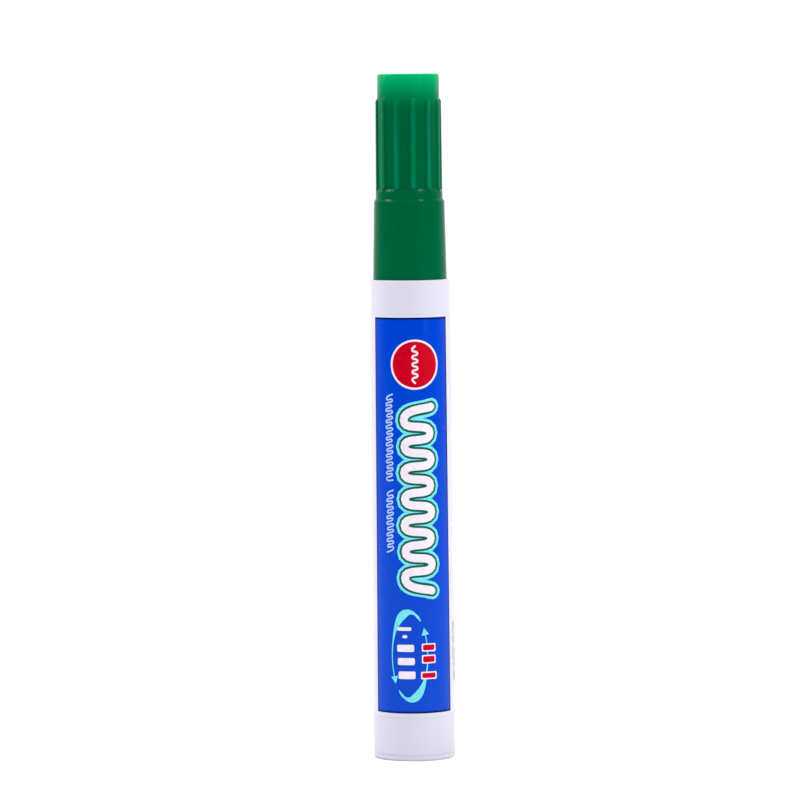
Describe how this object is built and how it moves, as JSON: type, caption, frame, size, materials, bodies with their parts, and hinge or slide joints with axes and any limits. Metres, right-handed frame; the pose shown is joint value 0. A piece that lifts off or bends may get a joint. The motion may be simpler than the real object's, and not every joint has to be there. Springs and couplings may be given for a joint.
{
  "type": "whiteboard marker",
  "caption": "Round-barrelled whiteboard marker with a wrapped printed label and a ribbed cap that pulls off a bullet nib.",
  "frame": {"origin": "centre of the marker's base, on the surface it stands on", "axes": "+Z along the marker's axis from its base to the cap's top; -Y is the side with the middle of the printed panel"},
  "size_m": [0.0162, 0.0162, 0.1345],
  "materials": {
    "barrel_plastic": "moulded polypropylene, satin, slightly lilac white",
    "label_film": "white film printed with a blue panel, glossy",
    "nib_fibre": "pressed fibre soaked with green ink",
    "filler_fibre": "bundled polyester fibre soaked with green ink",
    "filler_film": "thin clear-white plastic film",
    "cap_plastic": "moulded polypropylene, semi-gloss, slightly translucent green",
    "liner_plastic": "moulded polyethylene, satin natural white"
  },
  "bodies": {
    "root": {"barrel": "barrel_plastic", "printed_label": "label_film", "tail_plug": "barrel_plastic", "nib_holder": "barrel_plastic", "nib": "nib_fibre", "filler_core": "filler_fibre", "filler_wrap": "filler_film"},
    "cap": {"cap_shell": "cap_plastic", "cap_inner": "liner_plastic"}
  },
  "joints": [
    {"name": "cap_pull", "type": "slide", "parent": "root", "child": "cap", "axis": [0, 0, 1], "range_m": [0, 0.05]}
  ]
}
